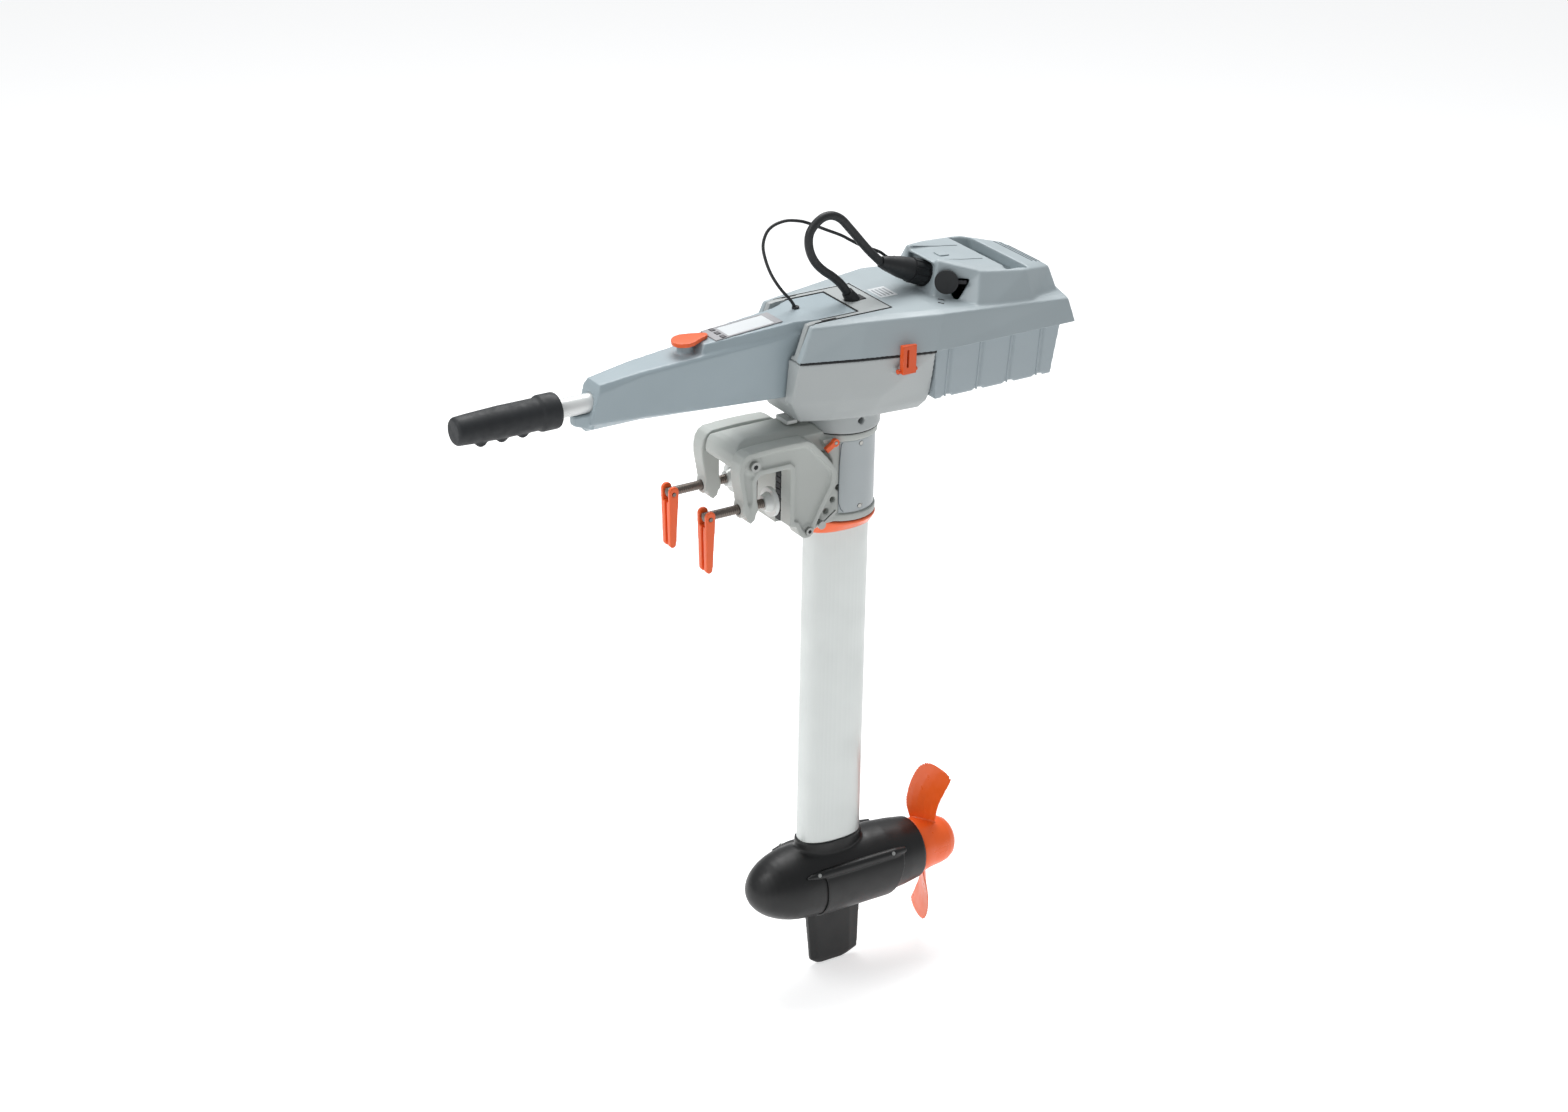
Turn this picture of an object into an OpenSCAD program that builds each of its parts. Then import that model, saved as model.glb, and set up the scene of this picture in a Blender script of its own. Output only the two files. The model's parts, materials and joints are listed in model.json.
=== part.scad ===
// Electric outboard motor: clamp bracket, swivel, round steering column, streamlined shaft,
// motor pod with propeller, folding tiller with display, and a clip-on battery.
// Frame: the origin is where a transom's top edge meets the bracket's bearing face.
// +X points aft to the propeller, +Y to starboard and +Z up.

/* [Layout] */
// Distance of the steering axis aft of the transom face
steer_x = 106; // [104:1:108]
// Height of the propeller axis, below the transom's top edge
pod_z = -635; // [-760:5:-635]
// Distance between the two clamp screws
screw_spread = 88; // [87:1:90]

/* [Clamp bracket] */
// Height of the tilt axis
tilt_z = 14; // [13:1:15]
// Distance of the tilt axis forward of the transom face
tilt_x = -53; // [-54:1:-52]
// Inner half width between the clamp arms
arm_in = 33.5; // [33.5:0.5:34]
// Outer half width over the clamp arms
arm_out = 56; // [55:1:58]
// Height of the clamp screws
screw_z = -44; // [-45:1:-43]
// Radius of a clamp screw
screw_r = 6; // [5:0.5:6]

/* [Shaft] */
// Length of the streamlined shaft section, fore and aft
shaft_long = 92; // [88:1:94]
// Width of the streamlined shaft section
shaft_wide = 50; // [46:1:52]
// Height of the top of the streamlined shaft
shaft_top = -98; // [-101:1:-98]

/* [Pod and propeller] */
// Largest radius of the motor pod
pod_r = 51; // [51:0.5:52]
// Radius of the propeller disc
prop_r = 125; // [110:1:127]
// Advance of the propeller in one turn
prop_pitch = 180; // [140:5:200]
// Number of propeller blades
blades = 2; // [2:1:3]

/* [Tiller] */
// Height of the throttle grip's axis
grip_z = 121; // [119:1:122]
// Radius of the tube that carries the throttle grip
tube_r = 12; // [11:0.5:12]
// Distance from the transom face to the front end of the grip
grip_reach = 437; // [420:1:450]

/* [Battery] */
// Height of the line where the battery meets the head
part_z = 137; // [137:0.5:138]
// Half width of the battery's rim
rim_half = 107.5; // [105:0.5:109]
// Position of the battery's rear end
battery_rear = 412; // [408:1:414]

/* [Cables] */
// Diameter of the power cable
power_d = 11; // [9:0.5:11]
// Diameter of the data cable
data_d = 4; // [3:0.5:4]

/* [Hidden] */
$fn = 64;

// Radial clearance of a running fit
run_gap = 0.05;

// Paints and plastics
shell_blue = [0.62, 0.68, 0.71];
bracket_grey = [0.64, 0.66, 0.63];
head_grey = [0.66, 0.68, 0.68];
signal_orange = [0.91, 0.36, 0.14];
pod_black = [0.13, 0.14, 0.15];
bare_metal = [0.78, 0.80, 0.79];
dark_steel = [0.36, 0.33, 0.31];
copper = [0.72, 0.42, 0.25];

// Bracket
arm_web = 52;
seat_pad = 7;
tie_x = 29;
tie_z = -92;
tie_r = 3.5;
bolt_r = 5;
pad_x = -20;
pad_r = 19;
handle_x = -115;
handle_reach = 74;
handle_wide = 22;
handle_deep = 14;
pin_r = 2.5;
trim_reach = 149.5;
trim_angles = [-45, -38.3, -31.8, -25.2];
lever_x = 72;
lever_z = 16;
lock_z = 41;
screw_y = screw_spread / 2;
arm_outline = [
    [-57, -63], [-63, -58], [-67, -44], [-71, -20], [-74, -5], [-75, 8], [-73, 20], [-68, 28], [-60, 32],
    [-20, 33.5], [24, 32], [33, 27], [53, 5], [67, -13], [69, -21], [66, -37], [48, -69], [41, -83],
    [37, -92], [31, -101], [22, -101], [15, -95], [9, -82], [0, -80], [0, -2.5], [-2.5, 0], [-44, 0],
    [-49, -6], [-48, -44], [-51, -58]
];

// Steering column
tube_out = 28;
tube_in = 24;
sleeve_r = 44;
flange_r = 50;
sleeve_low = -96;
sleeve_high = 23.5;
collar_low = 25;
head_low = 50;
collar_r = 53;

// Tiller
pivot_x = 54;
pivot_z = 175;
deck_slope = 0.07;
deck_tilt = atan(deck_slope);
deck_mid = -41.5;
button_step = 12.7;
plate_low = 176;
plate_high = 183;

// Plug's axis, tilted down aft, and the panel between the handle block's wings
plug_tilt = 22;
plug_face = [229, 0, 198];
panel_tilt = 5.5;
panel_x = 256;
panel_z = 218.5;

// Hinge line of the battery's latches
latch_y = 100;
latch_z = 119;

// Pod and propeller stations along X
nose_x = -18;
pod_rear = 240;
shaft_r = 6;

// Routes of the two cables, from where each leaves its housing to its plug
power_route = [
    [120, 0, 186], [114, 0, 194], [108, 0, 202], [101, 0, 210], [91, 0, 219], [79, 0, 228], [68, 0, 239],
    [60, 0, 252], [56, 0, 266], [57, 0, 280], [65, 0, 291], [77, 0, 298], [90, 0, 298], [103, 0, 291],
    [115, 0, 278], [127, 0, 264], [138, 0, 251], [148, 0, 240], [157, 0, 231], [164, 0, 224]
];
data_route = [
    [44, 9, 183], [37, 9, 194], [21, 9, 213], [8, 9, 233], [0, 10, 253], [-4, 10, 272], [1, 11, 287],
    [12, 12, 295], [29, 12, 298], [47, 12, 295], [63, 13, 289], [89, 14, 276], [113, 15, 264],
    [129, 17, 254], [147, 18, 243], [162, 20, 236], [176, 21, 229], [184, 22, 223], [190, 22, 218]
];

function deck_z(x) = 179.8 + deck_slope * x;
function mix(a, b, t) = a * (1 - t) + b * t;
function unit(v) = v / norm(v);

// Points of a streamlined section with half axes a and b
function foil(a, b, n = 48) = [
    for (i = [0 : n - 1])
        let (t = 360 * i / n)
        [a * sign(cos(t)) * pow(abs(cos(t)), 0.85), b * sign(sin(t)) * pow(abs(sin(t)), 0.85)]
];

// Mirror image of half a section, closed to a full ring: points are [x, y, z] with y > 0
function ring(half) = concat(
    [for (p = half) [p[0], -p[1], p[2]]],
    [for (i = [len(half) - 1 : -1 : 0]) half[i]]
);

// Catmull-Rom point between route points i and i + 1
function curve_at(p, i, t) =
    let (a = p[max(i - 1, 0)], b = p[i], c = p[i + 1], d = p[min(i + 2, len(p) - 1)])
    0.5 * (2 * b + (c - a) * t + (2 * a - 5 * b + 4 * c - d) * t * t + (3 * b - a - 3 * c + d) * t * t * t);
function curve(p, per) = concat(
    [for (i = [0 : len(p) - 2]) for (k = [0 : per - 1]) curve_at(p, i, k / per)],
    [p[len(p) - 1]]
);

module x_rod(r, x0, x1, y = 0, z = 0) {
    translate([x0, y, z]) rotate([0, 90, 0]) cylinder(r = r, h = x1 - x0);
}
module y_rod(r, y0, y1, x = 0, z = 0) {
    translate([x, y0, z]) rotate([-90, 0, 0]) cylinder(r = r, h = y1 - y0);
}
module z_rod(r, z0, z1, x = steer_x, y = 0) {
    translate([x, y, z0]) cylinder(r = r, h = z1 - z0);
}
module block(low, high) {
    translate(low) cube(high - low);
}
// Solid through a list of rings that hold the same even number of points
module skin(rings) {
    n = len(rings[0]);
    m = len(rings);
    points = [for (r = rings) each r];
    sides = [for (k = [0 : m - 2]) for (i = [0 : n - 1]) each [
        [k * n + i, (k + 1) * n + i, (k + 1) * n + (i + 1) % n],
        [k * n + i, (k + 1) * n + (i + 1) % n, k * n + (i + 1) % n]
    ]];
    caps = [for (i = [0 : n / 2 - 2]) let (a = i, b = i + 1, c = n - 2 - i, d = n - 1 - i) each [
        [a, b, c], [a, c, d],
        [(m - 1) * n + c, (m - 1) * n + b, (m - 1) * n + a],
        [(m - 1) * n + d, (m - 1) * n + c, (m - 1) * n + a]
    ]];
    faces = concat(sides, caps);
    volumes = [for (f = faces) points[f[0]] * cross(points[f[1]], points[f[2]])];
    inside_out = volumes * [for (f = faces) 1] > 0;
    polyhedron(points = points, faces = [for (f = faces) inside_out ? [f[2], f[1], f[0]] : f]);
}
// Round tube swept along a route
module cable(route, d, sides, per) {
    path = curve(route, per);
    last = len(path) - 1;
    rings = [
        for (i = [0 : last])
            let (
                along = unit(path[min(i + 1, last)] - path[max(i - 1, 0)]),
                side = unit(cross(along, [0, 1, 0])),
                up = cross(side, along)
            )
            [for (k = [0 : sides - 1])
                path[i] + d / 2 * (cos(360 * k / sides) * side + sin(360 * k / sides) * up)]
    ];
    skin(rings);
}
// Places its children on the tiller's sloping deck above x
module on_deck(x, y = 0) {
    translate([x, y, deck_z(x)]) rotate([0, -deck_tilt, 0]) children();
}
// Places its children on the plug's axis: their +Z points out of the socket
module on_plug(y = 0) {
    translate(plug_face + [0, y, 0]) rotate([0, -90 + plug_tilt, 0]) children();
}

// ---- Clamp bracket ----

module clamp_arm(side) {
    color(bracket_grey) mirror([0, side < 0 ? 1 : 0, 0]) difference() {
        union() {
            translate([0, arm_web, 0]) rotate([90, 0, 0])
                linear_extrude(arm_web - arm_in) polygon(arm_outline);
            translate([0, arm_out, 0]) rotate([90, 0, 0]) linear_extrude(arm_out - arm_web) difference() {
                polygon(arm_outline);
                offset(delta = -7) polygon(arm_outline);
            }
            x_rod(11.5, -70, -46, screw_y, screw_z);
            y_rod(12, arm_in, arm_out - 2, tilt_x, tilt_z);
            y_rod(9, arm_in, arm_out - 2, tie_x, tie_z);
        }
        x_rod(screw_r + run_gap, -90, -40, screw_y, screw_z);
        y_rod(bolt_r + run_gap, arm_in - 1, arm_out + 1, tilt_x, tilt_z);
        y_rod(6.8, arm_out - 2, arm_out + 1, tilt_x, tilt_z);
        y_rod(tie_r + run_gap, arm_in - 1, arm_out + 1, tie_x, tie_z);
        y_rod(5.5, arm_out - 2, arm_out + 1, tie_x, tie_z);
        block([-120, arm_in - 5, -120], [90, arm_in, 60]);
        for (z = [-66 : 16 : -18])
            block([-1, arm_in - 1, z], [0.8, arm_out + 1, z + 1.2]);
    }
}
module clamp_arm_port() { clamp_arm(-1); }
module clamp_arm_starboard() { clamp_arm(1); }

module transom_plate() {
    color(bracket_grey) difference() {
        union() {
            block([0, -21, -86], [8, 21, 1]);
            for (z = [-84, -40])
                block([7, -arm_in, z], [16, arm_in, z + 11]);
        }
        for (z = [-58, -16])
            x_rod(4.2, -1, 20, 0, z);
    }
}
module transom_pads() {
    color("black") for (s = [-1, 1])
        translate([0, s * 27.5, 0]) difference() {
            block([0, -5.5, -80], [seat_pad, 5.5, -4]);
            for (z = [-70 : 8 : -14])
                block([-1, -6, z], [0.8, 6, z + 1.6]);
        }
}
module tilt_bolt() {
    color(dark_steel) union() {
        y_rod(bolt_r, -arm_out, arm_out, tilt_x, tilt_z);
        for (s = [-1, 1])
            y_rod(6.5, s > 0 ? arm_out - 2 : -arm_out - 3, s > 0 ? arm_out + 3 : -arm_out + 2, tilt_x, tilt_z);
    }
}
module lower_tie_bolt() {
    color(dark_steel) union() {
        y_rod(tie_r, -arm_out, arm_out, tie_x, tie_z);
        for (s = [-1, 1])
            y_rod(5.2, s > 0 ? arm_out - 2 : -arm_out - 2, s > 0 ? arm_out + 2 : -arm_out + 2, tie_x, tie_z);
    }
}

// ---- Clamp screws ----

module clamp_pad(side) {
    color("lightgray") difference() {
        union() {
            x_rod(pad_r, pad_x - 5, pad_x, side * screw_y, screw_z);
            translate([pad_x - 5, side * screw_y, screw_z]) rotate([0, -90, 0])
                cylinder(r1 = 13, r2 = 9.5, h = 9);
        }
        x_rod(screw_r + run_gap, pad_x - 20, pad_x - 3.5, side * screw_y, screw_z);
    }
}
module clamp_pad_port() { clamp_pad(-1); }
module clamp_pad_starboard() { clamp_pad(1); }

// Screw with the cross pin that its handle swings on
module clamp_screw(side) {
    reach = handle_wide / 2 + 0.6;
    color(dark_steel) union() {
        x_rod(screw_r, handle_x - 6, pad_x - 4, side * screw_y, screw_z);
        y_rod(pin_r, side * screw_y - reach, side * screw_y + reach, handle_x, screw_z);
    }
}
module clamp_screw_port() { clamp_screw(-1); }
module clamp_screw_starboard() { clamp_screw(1); }

module clamp_handle(side) {
    inside = screw_r + 0.5;
    color(signal_orange) translate([handle_x, side * screw_y, screw_z]) difference() {
        hull() {
            y_rod(7, -handle_wide / 2, handle_wide / 2, 0, 3);
            y_rod(4.5, -handle_wide / 2 + 1.5, handle_wide / 2 - 1.5, 0, -handle_reach + 4.5);
        }
        block([-20, -inside, -11], [20, inside, 12]);
        block([-20, -2.5, -handle_reach - 1], [1, 2.5, -6]);
        y_rod(pin_r + run_gap, -20, 20, 0, 0);
    }
}
module clamp_handle_port() { clamp_handle(-1); }
module clamp_handle_starboard() { clamp_handle(1); }

// ---- Swivel ----

module swivel_nose() {
    intersection() {
        translate([0, 40, 0]) rotate([90, 0, 0]) linear_extrude(80) polygon([
            [-53, 2], [90, 2], [90, 36], [-45, 36], [-55, 34], [-63, 30], [-69, 23], [-71.5, 12],
            [-70, 6], [-65, 2]
        ]);
        translate([-90, 0, 0]) rotate([90, 0, 90]) linear_extrude(180) polygon([
            [-32.5, -10], [32.5, -10], [32.5, 28], [19, 36], [-19, 36], [-32.5, 28]
        ]);
    }
}
module swivel_cheek() {
    translate([0, 40, 0]) rotate([90, 0, 0]) linear_extrude(80) polygon([
        [57, 20], [71.5, -9], [73, -22], [70, -37], [52, -70], [45.5, -83], [44, -98], [49, -100],
        [57, sleeve_low], [106, sleeve_low], [106, 20]
    ]);
}
module swivel_housing() {
    color(bracket_grey) difference() {
        union() {
            swivel_nose();
            swivel_cheek();
            z_rod(sleeve_r, sleeve_low, sleeve_high);
            z_rod(flange_r, 14, sleeve_high);
            z_rod(flange_r - 0.5, sleeve_low, -86);
            y_rod(2.5, -49, -38, lever_x, lever_z);
            block([44, -9, 34], [60, 9, 46.5]);
        }
        z_rod(tube_out + 5, sleeve_low - 1, sleeve_high + 1);
        y_rod(9, -40, 40, tilt_x, tilt_z);
        block([40, -28, -101], [64, 28, -2]);
        z_rod(collar_r + 0.5, collar_low - 0.8, 60);
        for (a = trim_angles)
            for (s = [-1, 1])
                y_rod(4 + run_gap, s > 0 ? 27 : -41, s > 0 ? 41 : -27,
                    tilt_x + trim_reach * cos(a), tilt_z + trim_reach * sin(a));
        x_rod(4 + run_gap, 20, 60, 0, lock_z);
    }
}
module swivel_cover() {
    color(shell_blue) difference() {
        z_rod(sleeve_r + 3.5, -85.6, 13.6);
        z_rod(sleeve_r + 0.2, -90, 20);
        block([40, -60, -95], [steer_x - 28, 60, 25]);
        block([40, -40.3, -95], [steer_x, 40.3, 25]);
        for (s = [-1, 1])
            for (z = [8, -78])
                translate([steer_x + 4, 0, z]) rotate([s * 90, 0, 0]) cylinder(r = 2.6, h = 60);
    }
}
module swivel_cover_screws() {
    color("silver") for (s = [-1, 1])
        for (z = [8, -78])
            translate([steer_x + 4, 0, z]) rotate([s * 90, 0, 0]) translate([0, 0, sleeve_r])
                cylinder(r = 2.6, h = 3.9);
}
module steering_bushes() {
    color("ivory") for (z = [sleeve_low + 0.5, sleeve_high - 24.5])
        difference() {
            z_rod(tube_out + 5, z, z + 24);
            z_rod(tube_out + run_gap, z - 1, z + 25);
        }
}
module tilt_bushes() {
    color("ivory") for (s = [-1, 1])
        difference() {
            y_rod(9, s > 0 ? 12 : -33.1, s > 0 ? 33.1 : -12, tilt_x, tilt_z);
            y_rod(bolt_r + run_gap, -40, 40, tilt_x, tilt_z);
        }
}
module trim_pin() {
    x = tilt_x + trim_reach * cos(trim_angles[0]);
    z = tilt_z + trim_reach * sin(trim_angles[0]);
    color("silver") union() {
        y_rod(4, -47, 46, x, z);
        y_rod(5.5, -50, -45, x, z);
        translate([x, -48, z]) rotate([0, -35, 0]) block([4, -1.5, -1.5], [26, 1.5, 1.5]);
    }
}
module tilt_lock_lever() {
    color(signal_orange) difference() {
        union() {
            y_rod(5, -48, -42.6, lever_x, lever_z);
            translate([lever_x, -48, lever_z]) rotate([0, -32, 0]) block([-16, 0, -3.2], [2, 5.4, 3.6]);
        }
        y_rod(2.5 + run_gap, -50, -40, lever_x, lever_z);
    }
}
module steering_lock_pin() {
    color("gainsboro") union() {
        x_rod(4, 30, 52, 0, lock_z);
        block([21, -13, lock_z - 2.5], [36, 13, lock_z + 2.5]);
    }
}

// ---- Steering column and shaft ----

module shaft_section(grow, low, high) {
    translate([steer_x, 0, low]) linear_extrude(high - low)
        polygon(foil(shaft_long / 2 + grow, shaft_wide / 2 + grow));
}
module steering_tube() {
    color("silver") difference() {
        union() {
            z_rod(tube_out, shaft_top, head_low - 1);
            shaft_section(-4, shaft_top - 30, shaft_top);
        }
        z_rod(tube_in, shaft_top, head_low);
        z_rod(15, shaft_top - 40, shaft_top + 1);
    }
}
module shaft_tube() {
    color(bare_metal) difference() {
        shaft_section(0, pod_z + 63, shaft_top);
        difference() {
            shaft_section(-4, pod_z + 50, shaft_top + 1);
            for (s = [-1, 1])
                block([steer_x - 17 + 30 * s, -40, pod_z + 40], [steer_x - 13 + 30 * s, 40, shaft_top - 31]);
        }
    }
}
module shaft_collar() {
    color(signal_orange) difference() {
        hull() {
            z_rod(flange_r, shaft_top - 2, shaft_top + 1, steer_x);
            shaft_section(2.5, shaft_top - 20, shaft_top - 19);
        }
        shaft_section(0, shaft_top - 25, shaft_top);
        z_rod(tube_out, shaft_top - 5, shaft_top + 5);
    }
}

// ---- Head ----

head_floor = ring([[24, 36, head_low], [60, 52, head_low], [110, 64, head_low], [180, 70, head_low]]);
head_sill = ring([
    [20, 38, head_low + 8], [62, 56, head_low + 12], [113, 70, head_low + 12], [187, 78, head_low + 12]
]);
head_waist = ring([
    [7, 43, head_low + 30], [66, 64, head_low + 30], [117, 78, head_low + 30], [188, 84, head_low + 30]
]);
head_rim = ring([
    [8, 59, part_z - 1], [80, 83.5, part_z - 1], [130, 96.5, part_z - 1], [178, 106.5, part_z - 1]
]);
head_floor_in = ring([
    [34, 30, head_low + 6], [64, 47, head_low + 6], [110, 59, head_low + 6], [174, 65, head_low + 6]
]);
head_waist_in = ring([
    [21, 37, head_low + 31], [70, 59, head_low + 31], [118, 73, head_low + 31], [182, 79, head_low + 31]
]);
head_rim_in = ring([[28, 50, part_z], [84, 78.5, part_z], [132, 91.5, part_z], [173, 100.5, part_z]]);

module head_housing() {
    color(head_grey) difference() {
        union() {
            skin([head_floor, head_sill, head_waist, head_rim]);
            z_rod(collar_r, collar_low, head_low + 5);
            for (s = [-1, 1])
                for (x = [124.6, 149.2])
                    block([x, s > 0 ? 86 : -103.2, latch_z - 4], [x + 4.2, s > 0 ? 103.2 : -86, latch_z + 4]);
        }
        skin([head_floor_in, head_waist_in, head_rim_in]);
        z_rod(tube_out, collar_low - 1, head_low + 10);
        for (a = [90, 180, 270])
            translate([steer_x, 0, lock_z]) rotate([0, 0, a]) x_rod(4.3, 36, 60);
        tiller_room(1.2);
        for (s = [-1, 1])
            x_rod(3 + run_gap, 124, 154, s * latch_y, latch_z);
    }
}
// Space that the tiller's rear end takes at rest
module tiller_room(grow) {
    skin([
        ring([[-60, 26 + grow, 60], [-60, 26 + grow, 81], [-60, 40 + grow, 200]]),
        ring([[11.4 + grow, 26 + grow, 60], [11.4 + grow, 26 + grow, 81], [33.5 + grow, 40 + grow, 200]])
    ]);
}
module head_cover() {
    color(head_grey) difference() {
        skin([
            ring([[10, 48, part_z - 0.6], [26, 48, 182]]),
            ring([[26, 48, part_z - 0.6], [40, 48, 183]]),
            ring([[149, 48, part_z - 0.6], [149, 48, 183]])
        ]);
        block([0, -39.6, 141], [105, 39.6, 190]);
        block([105 - 1, -43, part_z - 2], [144, 43, 179]);
        block([30, -34, part_z - 2], [105, 34, 142]);
        y_rod(4 + run_gap, -60, 60, pivot_x, pivot_z);
        on_gland() cylinder(r = 9, h = 30, center = true);
        tiller_room(1.2);
    }
}
// Places its children on the gland's axis: their +Z points out along the power cable
module on_gland() {
    translate([123, 0, 182]) rotate([0, -36.87, 0]) children();
}
module cable_gland() {
    color("black") on_gland() difference() {
        union() {
            translate([0, 0, -7]) cylinder(r = 9, h = 10);
            translate([0, 0, 2.2]) cylinder(r1 = 9, r2 = 7.2, h = 12);
        }
        translate([0, 0, -8]) cylinder(r = power_d / 2 - 0.1, h = 30);
    }
}

// ---- Cables and plugs ----

module power_cable() {
    color("black") cable(power_route, power_d, 12, 2);
}
module data_cable() {
    color("black") cable(data_route, data_d, 8, 2);
}
module power_plug() {
    color("black") on_plug() union() {
        translate([0, 0, 1]) cylinder(r = 11, h = 23);
        translate([0, 0, 23.3]) cylinder(r1 = 15.2, r2 = 13.6, h = 17);
        translate([0, 0, 40.3]) cylinder(r1 = 13.6, r2 = 9, h = 24);
        translate([0, 0, 64.3]) cylinder(r1 = 9, r2 = 7.2, h = 6);
    }
}
module plug_ring() {
    color("dimgray") on_plug() difference() {
        translate([0, 0, 1.5]) cylinder(r = 16.5, h = 21.4);
        cylinder(r = 11 + run_gap, h = 30);
        for (a = [0 : 30 : 330])
            rotate(a) translate([17.2, 0, -1]) cylinder(r = 1.8, h = 30);
    }
}
module data_plug() {
    color("black") on_plug(22) union() {
        translate([3.9, 0, 2]) cylinder(r = 5, h = 13);
        translate([3.9, 0, 14.5]) cylinder(r = 5.5, h = 8);
        translate([3.9, 0, 22]) cylinder(r = 4.8, h = 13);
        translate([3.9, 0, 34.5]) cylinder(r1 = 4.4, r2 = 2.8, h = 9.5);
    }
}
module power_socket() {
    color("black") on_plug() union() {
        translate([0, 0, -14]) cylinder(r = 17, h = 15);
        translate([3.9, 22, -14]) cylinder(r = 5.4, h = 16);
    }
}

// ---- Battery ----

// Rings of the battery's upper shell, front to rear: foot, shoulder and crown of each section
upper_rings = [
    ring([[8, 60, part_z], [26, 56, 180], [27, 46, 183]]),
    ring([[80, 84, part_z], [98, 72, 180.5], [98, 60, 183]]),
    ring([[130, 97, part_z], [150, 84, 180.5], [150, 71, 183]]),
    ring([[178, rim_half, part_z], [197, 95, 180], [197, 82, 182.5]]),
    ring([[392, rim_half, part_z], [388, 96, 165.5], [388, 86, 168]]),
    ring([[battery_rear, 60, part_z], [401, 52, 165], [400, 44, 167]])
];
block_foot = [[218, 38, 160], [245, 97, 160], [335, 95, 160], [389, 77, 160], [401, 28, 160]];
block_edge = [[226, 35, 224.5], [270, 65, 213], [335, 73.5, 206.5], [387, 52, 195.5], [392, 25, 193]];
block_crown = [[229, 32, 226], [268, 50, 218], [333, 60, 208.5], [381, 42, 199], [385, 18, 197.5]];

module battery_block() {
    skin([ring(block_foot), ring(block_edge), ring(block_crown)]);
}
module battery_upper_shell() {
    color(shell_blue) difference() {
        union() {
            skin(upper_rings);
            battery_block();
        }
        block([-10, -48.4, part_z - 5], [149.4, 48.4, 200]);
        block([190, -92, part_z - 5], [374, 92, 158]);
        block([154, -80, part_z - 5], [180, 80, 170]);
        block([240, -58, 150], [300, 58, 203]);
        skin([
            ring([[214, 28, 222.5], [214, 28, 240]]),
            ring([[306, 28, 213.7], [306, 28, 240]])
        ]);
        grip_opening();
        on_plug() block([-17.5, -29, 0], [17.5, 29, 60]);
        on_plug() translate([0, 0, -14]) cylinder(r = 17, h = 20);
        on_plug() translate([3.9, 22, -14]) cylinder(r = 5.4, h = 20);
        translate([panel_x, 0, panel_z]) rotate([0, panel_tilt, 0]) block([-7.4, -7.4, -9], [7.4, 7.4, 9]);
        charge_axis() translate([0, 0, -8]) cylinder(r = 13, h = 40);
        for (s = [-1, 1])
            block([126, s > 0 ? 97 : -112, part_z - 5], [152, s > 0 ? 112 : -97, 157]);
    }
}
// Hand opening behind the grip bar, open through the top and out of the rear
module grip_opening() {
    skin([
        [[316, -72, 240], [316, 72, 240], [304, 56, 172], [304, -56, 172]],
        [[342, -72, 240], [342, 72, 240], [348, 56, 168], [348, -56, 168]]
    ]);
    skin([
        [[340, -50, 190], [340, 50, 190], [340, 50, 170], [340, -50, 170]],
        [[430, -46, 187], [430, 46, 187], [430, 46, 146], [430, -46, 146]]
    ]);
}
module battery_lower_shell() {
    color(shell_blue) difference() {
        skin([
            ring([[190.5, 91, 66], [369, 91, 66]]),
            ring([[183.5, 98, part_z], [376, 98, part_z]])
        ]);
        skin([
            ring([[195.5, 86, 71], [364, 86, 71]]),
            ring([[188.5, 93, part_z + 1], [371, 93, part_z + 1]])
        ]);
        for (s = [-1, 1])
            for (x = [208, 256, 303, 349])
                translate([x, s * 91.8, 60]) rotate([s * -5.63, 0, 0]) cylinder(r = 3, h = 90);
        for (x = [208, 256, 303, 349])
            block([x - 8, -95, 60], [x + 8, 95, 68.5]);
    }
}
module battery_cells() {
    color("seagreen") union() {
        block([198, -80, 73], [358, 80, 80]);
        for (x = [212 : 24 : 344])
            for (y = [-66 : 26.4 : 66])
                z_rod(9.2, 79, 144, x, y);
        block([198, -80, 144], [358, 80, 150]);
    }
}
module power_button() {
    color("whitesmoke") translate([panel_x, 0, panel_z]) rotate([0, panel_tilt, 0])
        block([-7, -7, -5], [7, 7, 0.8]);
}
// Axis of the charging socket, out of the battery's port front corner
module charge_axis() {
    translate([234, -44, 200]) rotate([0, 0, 236]) rotate([0, 80, 0]) children();
}
module charge_socket() {
    color("black") charge_axis() difference() {
        translate([0, 0, -8]) cylinder(r = 13, h = 10.5);
        translate([0, 0, -3]) cylinder(r = 10 + run_gap, h = 20);
    }
}
module charge_cap() {
    color("black") charge_axis() union() {
        translate([0, 0, -2.5]) cylinder(r = 10, h = 6);
        translate([0, 0, 2.9]) cylinder(r = 15, h = 5.5);
        block([-2, 12, 2.9], [2, 25, 6]);
    }
}
module battery_latch(side) {
    color(signal_orange) mirror([0, side < 0 ? 1 : 0, 0]) difference() {
        union() {
            block([129.4, 98.6, latch_z - 3], [148.6, 106.5, 153]);
            x_rod(3, 124.8, 153.2, latch_y, latch_z);
        }
        block([134.5, 90, latch_z + 6], [137.5, 112, 148]);
        skin([
            ring([[127, 94.2, latch_z - 9], [127, 97.2, latch_z + 10], [127, 98.4, 160]]),
            ring([[151, 98, latch_z - 9], [151, 101, latch_z + 10], [151, 104, 160]])
        ]);
    }
}
module battery_latch_port() { battery_latch(-1); }
module battery_latch_starboard() { battery_latch(1); }

// ---- Pod ----

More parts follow.
